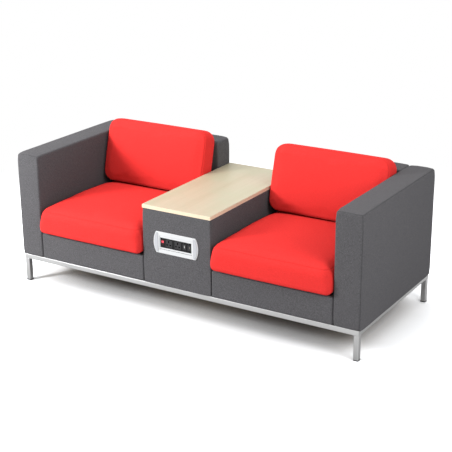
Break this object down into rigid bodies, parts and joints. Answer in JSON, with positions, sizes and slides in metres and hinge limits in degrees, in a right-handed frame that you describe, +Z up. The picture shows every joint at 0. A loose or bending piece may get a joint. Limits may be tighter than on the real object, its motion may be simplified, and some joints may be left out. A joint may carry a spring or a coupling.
{
  "type": "two-seater modular sofa",
  "caption": "Two-seat box sofa on a square-tube steel frame, with loose cushions, a wood-topped centre console and a flip-over socket unit.",
  "frame": {"origin": "on the floor, under the middle of the sofa's bounding box", "axes": "+Z up, the seats face -Y, +X to the right of someone who looks at the front, along the sofa's length"},
  "size_m": [1.9, 0.834, 0.7503],
  "materials": {
    "painted_steel": "satin silver powder coat",
    "zinc_steel": "zinc plated",
    "black_nylon": "moulded",
    "grey_fabric": "grey melange wool weave",
    "red_fabric": "bright red wool weave",
    "timber": "raw board",
    "maple": "satin maple laminate",
    "webbing": "elastic webbing",
    "white_plastic": "satin white",
    "pale_grey_plastic": "fine spark",
    "black_plastic": "moulded",
    "red_plastic": "glossy"
  },
  "bodies": {
    "sofa": {"centre_rail": "painted_steel", "console_bottom_board": "timber", "console_front_board": "timber", "console_front_pad": "grey_fabric", "console_left_angle": "zinc_steel", "console_left_board": "timber", "console_left_pad": "grey_fabric", "console_rear_board": "timber", "console_rear_pad": "grey_fabric", "console_right_angle": "zinc_steel", "console_right_board": "timber", "console_right_pad": "grey_fabric", "console_top": "maple", "front_left_bolt": "zinc_steel", "front_left_glide": "black_nylon", "front_left_leg": "painted_steel", "front_rail": "painted_steel", "front_right_bolt": "zinc_steel", "front_right_glide": "black_nylon", "front_right_leg": "painted_steel", "left_arm_cover": "grey_fabric", "left_arm_frame": "timber", "left_back_cover": "grey_fabric", "left_back_frame": "timber", "left_seat_fascia": "grey_fabric", "left_seat_frame": "timber", "left_seat_webbing": "webbing", "left_side_rail": "painted_steel", "power_bezel": "white_plastic", "power_housing": "black_plastic", "power_left_cap": "pale_grey_plastic", "power_right_cap": "pale_grey_plastic", "rear_left_bolt": "zinc_steel", "rear_left_glide": "black_nylon", "rear_left_leg": "painted_steel", "rear_rail": "painted_steel", "rear_right_bolt": "zinc_steel", "rear_right_glide": "black_nylon", "rear_right_leg": "painted_steel", "right_arm_cover": "grey_fabric", "right_arm_frame": "timber", "right_back_cover": "grey_fabric", "right_back_frame": "timber", "right_seat_fascia": "grey_fabric", "right_seat_frame": "timber", "right_seat_webbing": "webbing", "right_side_rail": "painted_steel"},
    "left_seat_cushion": {"left_seat_cushion": "red_fabric"},
    "left_back_cushion": {"left_back_cushion": "red_fabric"},
    "right_seat_cushion": {"right_seat_cushion": "red_fabric"},
    "right_back_cushion": {"right_back_cushion": "red_fabric"},
    "flip_unit": {"flip_carrier": "white_plastic", "socket_plate": "black_plastic", "left_socket": "black_plastic", "right_socket": "black_plastic", "left_port": "black_plastic", "right_port": "black_plastic", "left_flip_pin": "zinc_steel", "right_flip_pin": "zinc_steel"},
    "rocker": {"rocker_switch": "red_plastic"}
  },
  "joints": [
    {"name": "left_seat_cushion_draw", "type": "slide", "parent": "sofa", "child": "left_seat_cushion", "axis": [0, -1, 0], "range_m": [0, 0.2]},
    {"name": "left_back_cushion_lift", "type": "slide", "parent": "sofa", "child": "left_back_cushion", "axis": [0, 0, 1], "range_m": [0, 0.15]},
    {"name": "right_seat_cushion_draw", "type": "slide", "parent": "sofa", "child": "right_seat_cushion", "axis": [0, -1, 0], "range_m": [0, 0.2]},
    {"name": "right_back_cushion_lift", "type": "slide", "parent": "sofa", "child": "right_back_cushion", "axis": [0, 0, 1], "range_m": [0, 0.15]},
    {"name": "power_flip", "type": "hinge", "parent": "sofa", "child": "flip_unit", "pos_m": [0, -0.369, 0.368], "axis": [1, 0, 0], "range_deg": [0, 180]},
    {"name": "rocker_switch", "type": "hinge", "parent": "flip_unit", "child": "rocker", "pos_m": [-0.074, -0.3825, 0.368], "axis": [1, 0, 0], "range_deg": [0, 14]}
  ]
}
